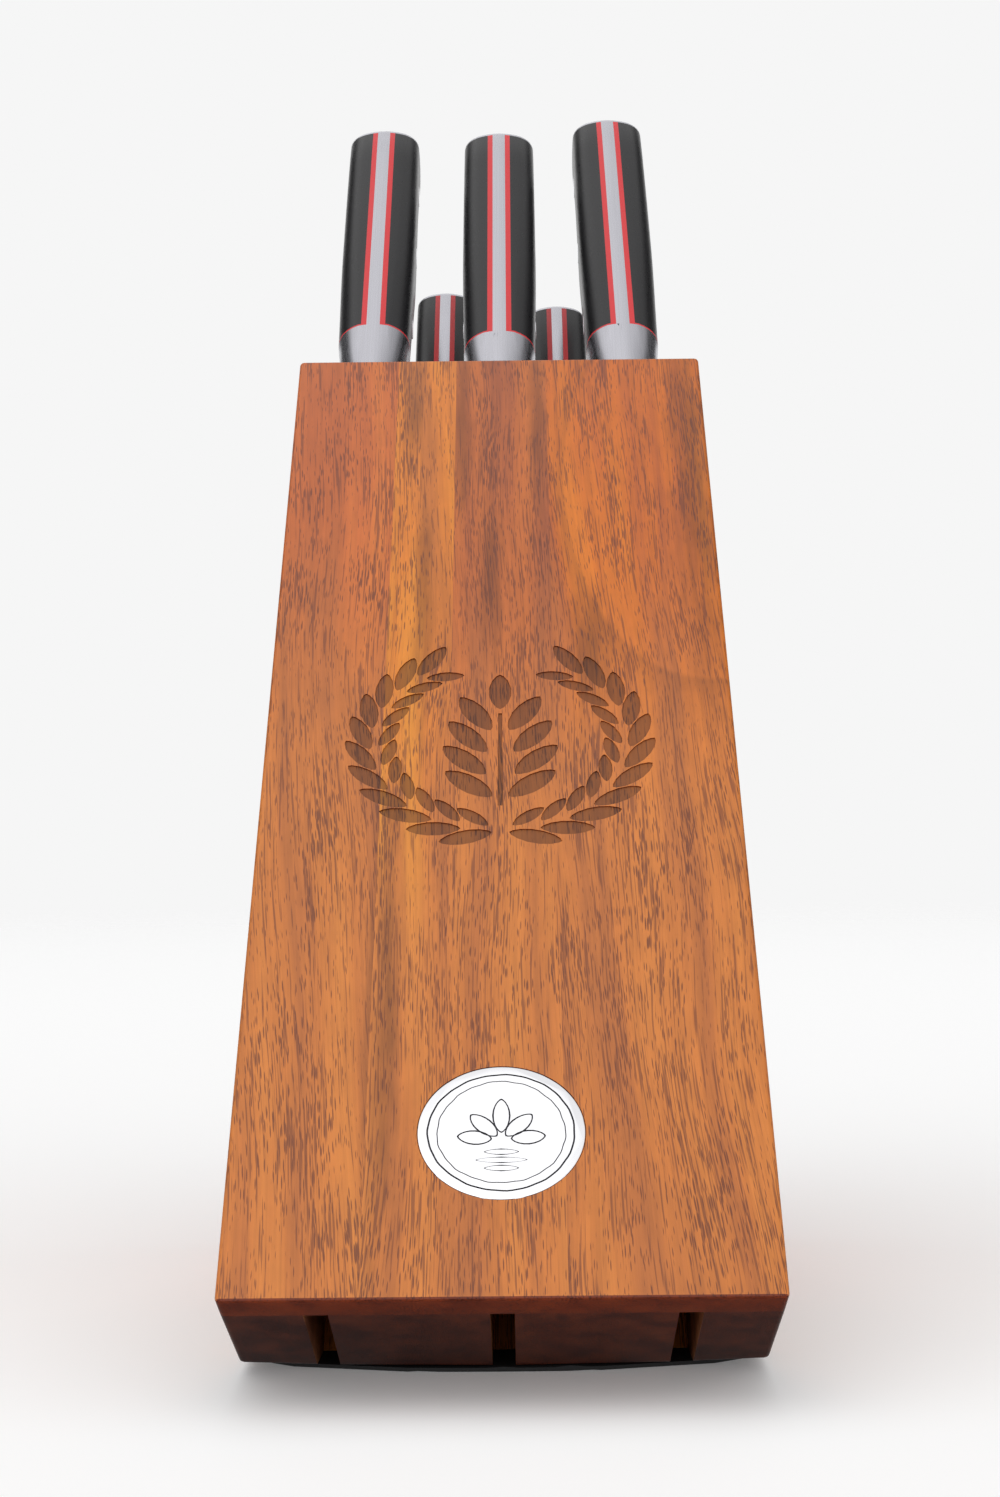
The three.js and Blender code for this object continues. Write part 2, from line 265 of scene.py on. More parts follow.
def growth_line(tree, plain, sway, light):
    """Darkens the light slowly up to a curved line, where it jumps back, as a growth ring does."""
    away = vector_calc(tree, "ADD", plain, -ARCH_MIDDLE)
    in_radii = vector_calc(tree, "MULTIPLY", away, [1 / size for size in ARCH_RADII])
    radius = vector_calc(tree, "LENGTH", in_radii)
    wavering = calc(tree, "MULTIPLY_ADD", sway, ARCH_WAVER, radius)
    halved = calc(tree, "MULTIPLY", wavering, 0.5)
    growth = add(tree, "ValToRGB", {"Fac": halved}, stops=ARCH_LIGHT)
    return calc(tree, "MULTIPLY", light, growth)


def dark_streak(tree, plain, at, light, streak):
    """Darkens the light inside one long ragged streak."""
    x, z, half_width, half_length = streak
    away = vector_calc(tree, "ADD", plain, (-x, 0, -z))
    scaled = vector_calc(tree, "MULTIPLY", away, (1 / half_width, 0, 1 / half_length))
    reach = vector_calc(tree, "LENGTH", scaled)
    edge = flecks(tree, at, *STREAK_EDGE)
    ragged = calc(tree, "MULTIPLY_ADD", edge, -1.6, reach)
    shade = remap(tree, ragged, -0.5, 0.5, 0.58, 1.0)
    return calc(tree, "MULTIPLY", light, shade)


def pores(tree, at, swayed):
    """How much of a pore each point is: short dashes and a few long ones, more of them in some bands."""
    cells = vector_calc(tree, "MULTIPLY", swayed, [1 / size for size in SHORT_PORES])
    nearest = add(tree, "TexVoronoi", {"Vector": cells, "Scale": 1.0})
    crowd = flecks(tree, at, *CROWDING)
    shifted = calc(tree, "MULTIPLY_ADD", crowd, -0.8, nearest)
    short = remap(tree, shifted, -0.2, -0.08, 0.8, 0.0)
    vessel = flecks(tree, swayed, *LONG_PORES)
    crowded = calc(tree, "MULTIPLY_ADD", crowd, 0.35, vessel)
    long = remap(tree, crowded, 0.74, 0.84, 0.0, 0.6)
    return calc(tree, "MAXIMUM", short, long)


# Acacia, planed, sanded and oiled: orange-brown with interlocked streaks, and open pores that
# look like short dark dashes; its end grain soaks up more oil and turns darker, and its end tint
# also holds painted shade for the toe, which faces away from the light. The real pores are
# about 0.2 mm wide, and are drawn about 0.3 mm wide so that they show.
def acacia(node, seed, kind):
    upper, lower, meet, lean, streaks = BOARDS[node]
    material, tree, bsdf = new_material(f"oiled acacia {node} {kind}", {"Roughness": 0.42, "IOR": 1.45})
    plain = slab_coordinates(tree)
    at = slab_coordinates(tree, (seed * 37.0, seed * 61.0, seed * 213.0), lean)
    sway = flecks(tree, at, *SWAY)
    aside = add(tree, "CombineXYZ", {"X": calc(tree, "MULTIPLY", sway, SWAY_REACH)})
    swayed = vector_calc(tree, "ADD", at, aside)

    figure = flecks(tree, swayed, *FIGURE)
    tones = [add(tree, "ValToRGB", {"Fac": figure}, stops=list(zip(TONE_PLACES, map(colour, WOODS[wood]))))
             for wood in (lower, upper)]
    height = add(tree, "SeparateXYZ", {0: plain}).outputs["Z"]
    wavering = calc(tree, "MULTIPLY_ADD", figure, 130.0, height)
    change = remap(tree, wavering, meet + BLEND[0], meet + BLEND[1], interpolation_type="SMOOTHSTEP")
    tone = mixed(tree, change, tones[0], tones[1])

    fibres = flecks(tree, swayed, *FIBRES)
    fibre_light = remap(tree, fibres, 0.32, 0.6, 0.88, 1.02)
    mottle = remap(tree, flecks(tree, at, *MOTTLE), 0.3, 0.7, 0.93, 1.05)
    light = calc(tree, "MULTIPLY", fibre_light, mottle)
    for streak in streaks:
        light = dark_streak(tree, plain, at, light, streak)
    if node == ARCHED_BOARD:
        light = growth_line(tree, plain, sway, light)
    tone = mixed(tree, 1.0, tone, light, "MULTIPLY")
    pore = pores(tree, at, swayed)
    tone = mixed(tree, pore, tone, colour(PORE_COLOUR))
    # the end tint multiplies in real darker end grain together with painted shade for the toe
    if CUTS[kind]:
        tint, roughness = CUTS[kind]
        tone = mixed(tree, 1.0, tone, colour(tint), "MULTIPLY")
        bsdf.inputs["Roughness"].default_value = roughness
    tree.links.new(given(tone), bsdf.inputs["Base Color"])
    relief = calc(tree, "SUBTRACT", fibres, pore)
    bump = add(tree, "Bump", {"Strength": 0.25, "Distance": 0.12 * MM, "Height": relief})
    tree.links.new(given(bump), bsdf.inputs["Normal"])
    return material


def varied_surface(name, shader, base, share, roughness, spread, size, relief):
    """A material that flecks of one size darken by up to a share, and move in roughness and relief.

    size is what flecks takes; relief is a bump's strength and its depth in millimetres.
    """
    material, tree, bsdf = new_material(name, shader)
    pattern = flecks(tree, slab_coordinates(tree), *size)
    even = remap(tree, pattern, 0.3, 0.7)
    tone = mixed(tree, even, darker(base, share), darker(base, 0))
    rough = remap(tree, even, 0.0, 1.0, roughness - spread, roughness + spread)
    bump = add(tree, "Bump", {"Strength": relief[0], "Distance": relief[1] * MM, "Height": pattern})
    for socket, node in (("Base Color", tone), ("Roughness", rough), ("Normal", bump)):
        tree.links.new(given(node), bsdf.inputs[socket])
    return material


# Stainless blade steel, belt-finished along the knife: a soft satin with fine grinding lines. The
# real lines are about 0.05 mm apart, and are drawn 0.25 mm apart so that they show.
def satin_steel(name, base):
    lines = (0.25, 60, 3.0, 0.6)
    return varied_surface(name, {"Metallic": 1.0}, base, 0.06, 0.26, 0.04, lines, (0.03, 0.03))


# Polished nickel-plated zinc or pin steel: a mirror with the faintest wear.
def polished_metal(name, base, roughness):
    wear = (3, 3, 3.0)
    return varied_surface(name, {"Metallic": 1.0}, base, 0.02, roughness, 0.02, wear, (0.02, 0.01))


# Filled resin laminate, sanded and buffed: near black or red, with a fine woven mottle.
def resin_laminate(name, base, roughness, mottle):
    weave = (0.5, 2.5, 3.0, 0.6)
    return varied_surface(name, {"IOR": 1.44}, base, mottle, roughness, 0.04, weave, (0.1, 0.03))


# Moulded rubber: matt dark grey with a fine pebble.
def moulded_rubber(name, base):
    pebble = (0.6, 0.6, 2.0)
    return varied_surface(name, {"IOR": 1.5}, base, 0.2, 0.85, 0.04, pebble, (0.4, 0.1))


# ---------------------------------------------------------------- mesh helpers

SHARP = math.radians(30)  # edges that turn by more than this are shown as edges


def finish_piece(name, bm, place, materials, node, body):
    """Turns a bmesh into a finished object that replaces a CAD node and rides on its body."""
    bmesh.ops.remove_doubles(bm, verts=bm.verts, dist=0.0005)
    bmesh.ops.recalc_face_normals(bm, faces=bm.faces)
    bmesh.ops.transform(bm, matrix=place, verts=bm.verts)
    mesh = bpy.data.meshes.new(name)
    bm.to_mesh(mesh)
    bm.free()
    for material in materials:
        mesh.materials.append(material)
    mesh.shade_smooth()
    mesh.set_sharp_from_angle(angle=SHARP)
    piece = bpy.data.objects.new(name, mesh)
    bpy.context.scene.collection.objects.link(piece)
    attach(piece, body)
    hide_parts(node)


def cut(bm, point, normal):
    """Cuts away what lies on the normal's side of a plane and closes the cut."""
    everything = bm.verts[:] + bm.edges[:] + bm.faces[:]
    bmesh.ops.bisect_plane(bm, geom=everything, dist=1e-5, plane_co=point, plane_no=normal, clear_outer=True)
    open_edges = [edge for edge in bm.edges if edge.is_boundary]
    if open_edges:
        bmesh.ops.holes_fill(bm, edges=open_edges, sides=0)


def clipped(bm, axis, low=None, high=None):
    """A copy of a bmesh that keeps what lies between two values on an axis."""
    copy = bm.copy()
    normal = Vector((0, 0, 0))
    normal[axis] = 1
    if low is not None:
        cut(copy, normal * low, -normal)
    if high is not None:
        cut(copy, normal * high, normal)
    return copy


def extruded(bm, faces, step):
    """Pulls faces out by a step, and gives back the corners that moved."""
    made = bmesh.ops.extrude_face_region(bm, geom=faces)["geom"]
    moved = [item for item in made if isinstance(item, bmesh.types.BMVert)]
    bmesh.ops.translate(bm, verts=moved, vec=step)
    return moved


def prism(bm, outline, axis, low, high):
    """Extrudes a closed outline, drawn on the other two axes, from low to high along an axis."""
    def point(a, b, c):
        return {0: (c, a, b), 1: (a, c, b), 2: (a, b, c)}[axis]
    face = bm.faces.new([bm.verts.new(point(a, b, low)) for a, b in outline])
    extruded(bm, [face], point(0, 0, high - low))


def combined(base, tool, operation):
    """Joins or cuts one bmesh with another, and frees both."""
    objects = []
    for bm in (base, tool):
        bmesh.ops.recalc_face_normals(bm, faces=bm.faces)
        mesh = bpy.data.meshes.new("work")
        bm.to_mesh(mesh)
        bm.free()
        objects.append(bpy.data.objects.new("work", mesh))
        bpy.context.scene.collection.objects.link(objects[-1])
    modifier = objects[0].modifiers.new("combine", "BOOLEAN")
    modifier.operation = operation
    modifier.solver = "EXACT"
    modifier.use_self = True          # a tool may be several shells that cross each other
    modifier.object = objects[1]
    result = bmesh.new()
    result.from_object(objects[0], bpy.context.evaluated_depsgraph_get())
    for item in objects:
        mesh = item.data
        bpy.data.objects.remove(item)
        bpy.data.meshes.remove(mesh)
    return result


def loft(stations):
    """Sweeps a ring through stations, each a list of points of the same length, and closes the ends."""
    bm = bmesh.new()
    made = bmesh.ops.create_circle(bm, segments=len(stations[0]), radius=1)
    ring = made["verts"]
    for vertex, point in zip(ring, stations[0]):
        vertex.co = point
    first = list(ring)
    for station in stations[1:]:
        edges = [bm.edges.get((a, b)) for a, b in zip(ring, ring[1:] + ring[:1])]
        grown = bmesh.ops.extrude_edge_only(bm, edges=edges)["geom"]
        new = {item for item in grown if isinstance(item, bmesh.types.BMVert)}
        ring = [next(e.other_vert(v) for e in v.link_edges if e.other_vert(v) in new) for v in ring]
        for vertex, point in zip(ring, station):
            vertex.co = point
    bm.faces.new(first)
    bm.faces.new(ring)
    bmesh.ops.recalc_face_normals(bm, faces=bm.faces)
    return bm


def smooth_step(low, high, value):
    t = min(max((value - low) / (high - low), 0.0), 1.0)
    return t * t * (3 - 2 * t)


def curve_value(points, at):
    """Height of a smooth line through points, each (place, height), at a place."""
    for (x0, y0), (x1, y1) in zip(points, points[1:]):
        if at <= x1:
            return y0 + (y1 - y0) * smooth_step(x0, x1, at)
    return points[-1][1]


# ---------------------------------------------------------------- the slab's boards

def slab_outline():
    """Side view of the slab as (depth, along) points, read from the CAD boards."""
    front = local_box("front_strip_1", SLAB)[0]
    back = local_box("back_board", SLAB)[1]
    stave = [SLAB.inverted() @ vertex.co for vertex in frame["nodes"]["front_row_stave_1"].data.vertices]
    # the toe meets the ground at the front end of a stave's underside
    contact = min(stave, key=lambda point: (round((SLAB @ point).z, 7), point.y))
    toe_slope = (contact.z - front.z) / (contact.y - front.y)
    toe = front.z - toe_slope * front.y
    far = back.y + GLUE_GAP / 2
    ground = contact.z + (far - contact.y)
    return [(0, 0), (0, toe), (contact.y, contact.z), (far, ground), (far, 0)]


OUTLINE = slab_outline()
CONTACT, HEEL = OUTLINE[2], OUTLINE[3]    # where the toe and the back meet the ground
SLAB_DEPTH = HEEL[0]
SLAB_HALF = local_box("rear_foot", SLAB)[1].x

ETCH_DEPTH = 0.25         # how far the etched ornament lies below the front face
ENGRAVING = 0.18          # depth of the badge's engraved lines
POCKET_GAP = 0.06         # gap round the badge in its pocket
PAD_CORNER = 16           # radius of the pad's front corners

# The ornament as shares of its size. Wreath leaves: reach from the middle, tilt, length and width.
WREATH_STEPS, WREATH_START, WREATH_TURN = 11, 14, 13.6       # leaf pairs, and their places in degrees
WREATH_LEAVES = ((0.452, 28, 0.17, 0.06), (0.36, -24, 0.125, 0.045))
# Sprig leaves: height, place aside and tilt. Then the top leaf's height, and the stem's outline.
SPRIG_LEAVES = ((-0.20, 0.10, 52), (-0.09, 0.115, 46), (0.02, 0.105, 40), (0.13, 0.08, 32))
SPRIG_TOP = 0.235
STEM = ((-0.009, -0.3), (0.009, -0.3), (0.006, 0.13), (-0.006, 0.13))

# The badge's engraving as shares of its radius, but for line widths and wobbles in millimetres.
BADGE_RINGS = ((0.87, 0.07, 0.0, 0.34), (0.76, 0.11, 1.3, 0.2))      # radius, wobble, phase, line width
BADGE_LEAVES = ((0, 0.36, 0.5), (-44, 0.3, 0.44), (44, 0.3, 0.44), (-84, 0.32, 0.4), (84, 0.32, 0.4))
BADGE_BARS = ((0.3, 0.2), (0.42, 0.3), (0.54, 0.2))                  # drop and half width
LEAF_LINE, BAR_LINE = 0.34, 0.26


def leaf(bm, centre, turn, length, width, low, high):
    """A pointed leaf prism through the front face, its stalk end towards turn's opposite, in degrees."""
    made = bmesh.ops.create_circle(bm, segments=14, radius=1, cap_ends=True)["verts"]
    for vertex in made:
        vertex.co.x *= abs(vertex.co.x) ** 0.35
    verts = made + extruded(bm, [made[0].link_faces[0]], (0, 0, 1))
    bmesh.ops.scale(bm, verts=verts, vec=(width / 2, length / 2, high - low))
    # the circle lies in XY: stand it up so that its normal runs into the slab
    stand = Matrix(((1, 0, 0), (0, 0, 1), (0, 1, 0))).to_4x4()
    place = Matrix.Translation((centre[0], low, centre[1])) @ Matrix.Rotation(math.radians(turn), 4, "Y")
    bmesh.ops.transform(bm, matrix=place @ stand, verts=verts)


def engraved_line(bm, points, width, low, high):
    """A groove of even width along a closed line of (x, z) points, as one cutting shape."""
    middle = sum((Vector(point) for point in points), Vector((0, 0))) / len(points)
    loops = []
    for side in (-0.5, 0.5):
        verts = []
        for point in points:
            away = Vector(point) - middle
            spot = Vector(point) + away.normalized() * width * side
            verts.append(bm.verts.new((spot.x, low, spot.y)))
        loops += [bm.edges.new(pair) for pair in zip(verts, verts[1:] + verts[:1])]
    extruded(bm, bmesh.ops.bridge_loops(bm, edges=loops)["faces"], (0, high - low, 0))


def leaf_line(centre, turn, length, width, points=20):
    """A pointed leaf's outline as (x, z) points, its tip turned by some degrees from straight up."""
    turned = Matrix.Rotation(math.radians(-turn), 2)
    outline = []
    for i in range(points):
        angle = math.tau * i / points
        side = math.copysign(abs(math.cos(angle)) ** 1.35, math.cos(angle))
        point = Vector((side * width / 2, math.sin(angle) * length / 2))
        outline.append(tuple(turned @ point + Vector(centre)))
    return outline


def brushed_ring(centre, radius, wobble, phase, points=90):
    """A ring's outline as (x, z) points, a little uneven, as if drawn with a brush."""
    outline = []
    for i in range(points):
        angle = math.tau * i / points
        uneven = math.sin(3 * angle + phase) + 0.6 * math.sin(11 * angle + 2 * phase)
        uneven += 0.5 * math.sin(23 * angle)
        reach = radius + wobble * uneven
        outline.append((centre[0] + reach * math.sin(angle), centre[1] + reach * math.cos(angle)))
    return outline


def wreath_cutter(centre, size):
    """The etched ornament: a wreath of leaf pairs round an upright sprig, as one cutting shape."""
    bm = bmesh.new()
    low, high = -1.0, ETCH_DEPTH
    for side in (-1, 1):
        for i in range(WREATH_STEPS):
            sweep = WREATH_START + i * WREATH_TURN        # degrees from the bottom of the wreath
            turn = math.radians(sweep) * side
            for reach, tilt, length, width in WREATH_LEAVES:
                spot = (centre[0] + size * reach * math.sin(turn), centre[1] - size * reach * math.cos(turn))
                leaf(bm, spot, side * (90 - sweep + tilt), size * length, size * width, low, high)
    for rise, aside, tilt in SPRIG_LEAVES:
        for side in (-1, 1):
            spot = (centre[0] + side * size * aside, centre[1] + size * rise)
            leaf(bm, spot, side * tilt, size * 0.19, size * 0.075, low, high)
    leaf(bm, (centre[0], centre[1] + size * SPRIG_TOP), 0, size * 0.17, size * 0.075, low, high)
    prism(bm, [(centre[0] + x * size, centre[1] + y * size) for x, y in STEM], 1, low, high)
    return bm


def badge_cutter(spot, radius):
    """The badge's engraved lines as one cutting shape: two rings, and a sprig over three bars."""
    bm = bmesh.new()
    for share, wobble, phase, width in BADGE_RINGS:
        engraved_line(bm, brushed_ring(spot, radius * share, wobble, phase), width, -1, ENGRAVING)
    for angle, reach, length in BADGE_LEAVES:
        turn = math.radians(angle)
        at = (spot[0] + radius * reach * math.sin(turn), spot[1] + radius * (reach * math.cos(turn) - 0.12))
        engraved_line(bm, leaf_line(at, angle, radius * length, radius * 0.2), LEAF_LINE, -1, ENGRAVING)
    for drop, half_width in BADGE_BARS:
        line = leaf_line((spot[0], spot[1] - radius * drop), 90, radius * half_width * 2, radius * 0.08)
        engraved_line(bm, line, BAR_LINE, -1, ENGRAVING)
    return bm


def disc(centre, radius, near, far, segments):
    """A round disc that lies in the front face, from one depth to another."""
    bm = bmesh.new()
    verts = bmesh.ops.create_cone(bm, cap_ends=True, segments=segments, radius1=radius, radius2=radius,
                                  depth=far - near)["verts"]
    bmesh.ops.rotate(bm, verts=verts, cent=(0, 0, 0), matrix=Matrix.Rotation(math.radians(90), 3, "X"))
    bmesh.ops.translate(bm, verts=verts, vec=(centre.x, (near + far) / 2, centre.z))
    return bm


def board_materials(node):
    seed = float(list(BOARDS).index(node) + 1)
    return [acacia(node, seed, kind) for kind in CUTS]


def mark_cuts(bm):
    """Gives end grain and etched floors their own material, by which way and where each face looks."""
    bm.normal_update()
    for face in bm.faces:
        middle = face.calc_center_median()
        if abs(face.normal.z) > 0.5:
            face.material_index = 1
        elif face.normal.y < -0.9 and abs(middle.y - ETCH_DEPTH) < 0.05:
            face.material_index = 2
        else:
            face.material_index = 0


def ease_edges(bm, edges, radius, segments=4):
    bmesh.ops.bevel(bm, geom=edges, offset=radius, offset_type="OFFSET", affect="EDGES",
                    segments=segments, profile=0.5, material=-1)


def rounded_slab(edge_radius):
    """The whole slab as one solid with eased edges."""
    bm = bmesh.new()
    prism(bm, OUTLINE, 0, -SLAB_HALF, SLAB_HALF)
    bmesh.ops.recalc_face_normals(bm, faces=bm.faces)
    ease_edges(bm, bm.edges[:], edge_radius)
    return bm


def board_between(slab, node):
    """Cuts one board out of the slab, where its CAD solid is, without the CAD model's glue gaps."""
    low, high = local_box(node, SLAB)
    board = slab.copy()
    gap = GLUE_GAP / 2
    for axis, slab_near, slab_far in ((0, -SLAB_HALF, SLAB_HALF), (1, 0, SLAB_DEPTH)):
        grow = 0.0 if axis == 0 and "stave" in node else gap         # slots stay between the staves
        normal = Vector((axis == 0, axis == 1, 0))
        if low[axis] - gap * 1.5 > slab_near:
            cut(board, normal * (low[axis] - grow), -normal)
        if high[axis] + gap * 1.5 < slab_far:
            cut(board, normal * (high[axis] + grow), normal)
    return board


def bow_toe(board, bow):
    """Lifts the toe's lower edge towards the slab's two sides, so that it bows down in the middle."""
    for vertex in board.verts:
        if math.dist(vertex.co.yz, CONTACT) < 3:
            lift = bow * (vertex.co.x / SLAB_HALF) ** 2 * math.sqrt(0.5)
            vertex.co += Vector((0, -lift, lift))


class KnifeBlockSizes(bpy.types.PropertyGroup):
    """Sizes of the block that a user may change."""

    edge_radius: FloatProperty(
        name="Edge radius", description="Easing of the slab's outer edges",
        default=1.1 * MM, min=0.3 * MM, max=4 * MM, precision=4, subtype="DISTANCE", unit="LENGTH")
    toe_bow: FloatProperty(
        name="Toe bow", description="How far the toe's lower edge rises at its two ends",
        default=1.0 * MM, min=0.0, max=3 * MM, precision=4, subtype="DISTANCE", unit="LENGTH")
    ornament_size: FloatProperty(
        name="Ornament size", description="Height of the etched wreath",
        default=66 * MM, min=30 * MM, max=80 * MM, subtype="DISTANCE", unit="LENGTH")
    ornament_place: FloatProperty(
        name="Ornament place", description="Middle of the wreath below the slab's top edge",
        default=141 * MM, min=60 * MM, max=200 * MM, subtype="DISTANCE", unit="LENGTH")


class MakeSlab(bpy.types.Operator):
    """Make the slab's boards, with the etched wreath and the badge's pocket in the front strips"""

    bl_idname = "knifeblock.make_slab"
    bl_label = "Slab Boards"

    def execute(self, context):
        sizes = context.scene.knife_block
        slab = rounded_slab(sizes.edge_radius / MM)
        low, high = local_box("badge", SLAB)
        radius, floor = (high.x - low.x) / 2 + POCKET_GAP, high.y + 0.02
        pocket = disc((low + high) / 2, radius, -floor, floor, 96)
        slab = combined(slab, pocket, "DIFFERENCE")
        wreath = wreath_cutter((0, -sizes.ornament_place / MM), sizes.ornament_size / MM)
        slab = combined(slab, wreath, "DIFFERENCE")
        for node in BOARDS:
            if node == "rear_foot":
                continue
            board = board_between(slab, node)
            bow_toe(board, sizes.toe_bow / MM)
            mark_cuts(board)
            finish_piece(f"{node}_board", board, SLAB, board_materials(node), node, BLOCK)
        slab.free()
        return {"FINISHED"}


class MakeFoot(bpy.types.Operator):
    """Make the wedge foot and the rubber pad under it"""

    bl_idname = "knifeblock.make_foot"
    bl_label = "Foot and Pad"

    def execute(self, context):
        points = [SLAB.inverted() @ v.co for v in frame["nodes"]["rear_foot"].data.vertices]
        lowest, upper = min(p.z for p in points), max(p.z for p in points)
        tip = max(points, key=lambda p: p.y)
        bm = bmesh.new()
        prism(bm, [(SLAB_DEPTH, lowest), (tip.y, tip.z), (SLAB_DEPTH, upper)], 0, -SLAB_HALF, SLAB_HALF)
        bmesh.ops.recalc_face_normals(bm, faces=bm.faces)
        ease_edges(bm, [e for e in bm.edges if max(v.co.y for v in e.verts) > SLAB_DEPTH + 1],
                   context.scene.knife_block.edge_radius / MM)
        finish_piece("rear_foot_wedge", bm, SLAB, board_materials("rear_foot"), "rear_foot", BLOCK)

        pad = bmesh.new()
        pad.from_mesh(frame["nodes"]["foot_pad"].data)
        bmesh.ops.remove_doubles(pad, verts=pad.verts, dist=1e-6)
        bmesh.ops.dissolve_limit(pad, angle_limit=math.radians(0.5), verts=pad.verts, edges=pad.edges)
        front = min(v.co.y for v in pad.verts if abs(v.co.x) > (SLAB_HALF - 0.1) * MM) / MM
        for side in (-1, 1):
            middle = Vector((side * (SLAB_HALF - PAD_CORNER), front + PAD_CORNER, 0))
            for angle in range(15, 90, 15):
                outward = Vector((side * math.cos(math.radians(angle)), -math.sin(math.radians(angle)), 0))
                cut(pad, (middle + outward * PAD_CORNER) * MM, outward)
        rim = [e for e in pad.edges if len(e.link_faces) == 2 and e.calc_face_angle(0) > math.radians(60)
               and abs(e.verts[0].co.z - e.verts[1].co.z) < 1e-5]
        ease_edges(pad, rim, 0.25 * MM, segments=2)
        finish_piece("foot_pad_rubber", pad, Matrix(), [moulded_rubber("moulded rubber", colour("#2b2b2c"))],
                     "foot_pad", BLOCK)
        return {"FINISHED"}


class MakeBadge(bpy.types.Operator):
    """Make the polished badge with its engraved rings and sprig"""

    bl_idname = "knifeblock.make_badge"
    bl_label = "Badge"

    def execute(self, context):
        low, high = local_box("badge", SLAB)
        centre = (low + high) / 2
        radius = (high.x - low.x) / 2
        badge = disc(centre, radius, 0, high.y, 128)
        front_rim = [e for e in badge.edges if all(v.co.y < 0.1 for v in e.verts)]
        ease_edges(badge, front_rim, 0.3, segments=3)
        badge = combined(badge, badge_cutter((centre.x, centre.z), radius), "DIFFERENCE")
        # faces inside the engraved grooves take a dark material: painted shade in the engraving
        for face in badge.faces:
            middle = face.calc_center_median()
            inside = math.dist(middle.xz, centre.xz) < radius - 0.5
            face.material_index = int(inside and 0.02 < middle.y < 0.3)
        finish_piece("badge_disc", badge, SLAB,
                     [polished_metal("polished nickel plate", colour("#f0f0f3"), 0.06),
                      polished_metal("nickel with painted shade in the engraving", colour("#3a3a3e"), 0.35)],
                     "badge", BLOCK)
        return {"FINISHED"}


# ---------------------------------------------------------------- knives

LINER = 1.4               # liner thickness
FLANGE = 0.6              # thickness of a liner's turned end over the bolster
CAP = 1.6                 # thickness of the butt cap
LARGE_GRIP = 20.3         # width of a large knife's butt, by which the grips of others are scaled
FACE_STEPS, EASED_STEPS = 8, 6            # points along a face of a grip's section, round its corners
CROWN_RISE = 2.6                          # how far the spine's corners lie below its middle
KEEL_RISE = 6                             # how far the belly's corners lie above its middle
BUTT_DROOP, DROOP_LENGTH = 1.5, 14        # how the spine falls away towards the butt
# height of a large grip along its length, as a share of that and millimetres
GRIP_HEIGHTS = ((0, 21), (0.22, 22.5), (0.5, 25.5), (0.76, 23), (1, 28))
BUTT_ROUNDING = ((0.45, 0.985), (0.15, 0.955), (0.0, 0.9))  # distance from the end, share of the width
GRIP_START = 0.3                          # height of the bolster's foot above the slab


def bend(start, corner, end, t):
    """A point on the curve that leaves start towards a corner and arrives at end from it."""
    return Vector(start) * (1 - t) ** 2 + Vector(corner) * 2 * t * (1 - t) + Vector(end) * t * t


def shallow_arc(half, depth, reach, steps):
    """Points of an arc that falls by depth over a half width, from its middle out to a reach."""
    radius = (half ** 2 + depth ** 2) / (2 * depth)
    sweep = math.asin(min(reach / radius, 1.0))
    return [Vector((radius * math.sin(sweep * i / steps), radius * (1 - math.cos(sweep * i / steps))))
            for i in range(steps + 1)]


def grip_ring(z, spine, crown, rise, keel, keel_rise, full, height, easing):
    """One closed cross-section of a grip at a height z.

    crown and keel are half widths at the spine's and the belly's corners, rise and keel_rise how
    far those corners lie inside the section, full is the half width at the flank's fullest, and
    easing is how far from a corner its rounding starts.
    """
    upper, lower = Vector((crown, rise)), Vector((keel, height - keel_rise))
    side = Vector((2 * full - (crown + keel) / 2, rise + (lower.y - rise) * 0.42))
    share = min(easing / (lower.y - rise), 0.45)
    flank = [bend(upper, side, lower, share + (1 - 2 * share) * i / FACE_STEPS)
             for i in range(FACE_STEPS + 1)]
    top = shallow_arc(crown, rise, crown - min(easing, crown * 0.9), FACE_STEPS)
    bottom = [Vector((point.x, height - point.y)) for point in
              reversed(shallow_arc(keel, keel_rise, keel - min(easing, keel * 0.9), FACE_STEPS))]
    eased = [step / EASED_STEPS for step in range(1, EASED_STEPS)]
    half = top + [bend(top[-1], upper, flank[0], t) for t in eased] + flank + \
        [bend(flank[-1], lower, bottom[0], t) for t in eased] + bottom
    mirrored = [Vector((-point.x, point.y)) for point in reversed(half[1:-1])]
    return [Vector((point.x, spine + point.y, z)) for point in half + mirrored]


class Knife:
    """The measures of one knife, read from its CAD solids in the knife's own frame."""

    def __init__(self, name):
        self.name = name
        self.body = f"{name}_knife"
        self.place = knife_place(name)
        cap_low, cap_high = local_box(f"{name}_butt_cap", self.place)
        liner = local_box(f"{name}_liner_right", self.place)[0]
        self.size = (cap_high.x - cap_low.x) / LARGE_GRIP
        self.half = cap_high.x - 0.5 * self.size
        self.tip = cap_high.z
        self.spine = cap_low.y
        self.bolster = liner.z - GLUE_GAP                # where the bolster ends and the grip starts
        self.tang = liner.x - 0.2                        # half thickness
        self.blade = -local_box(f"{name}_blade", self.place)[0].z


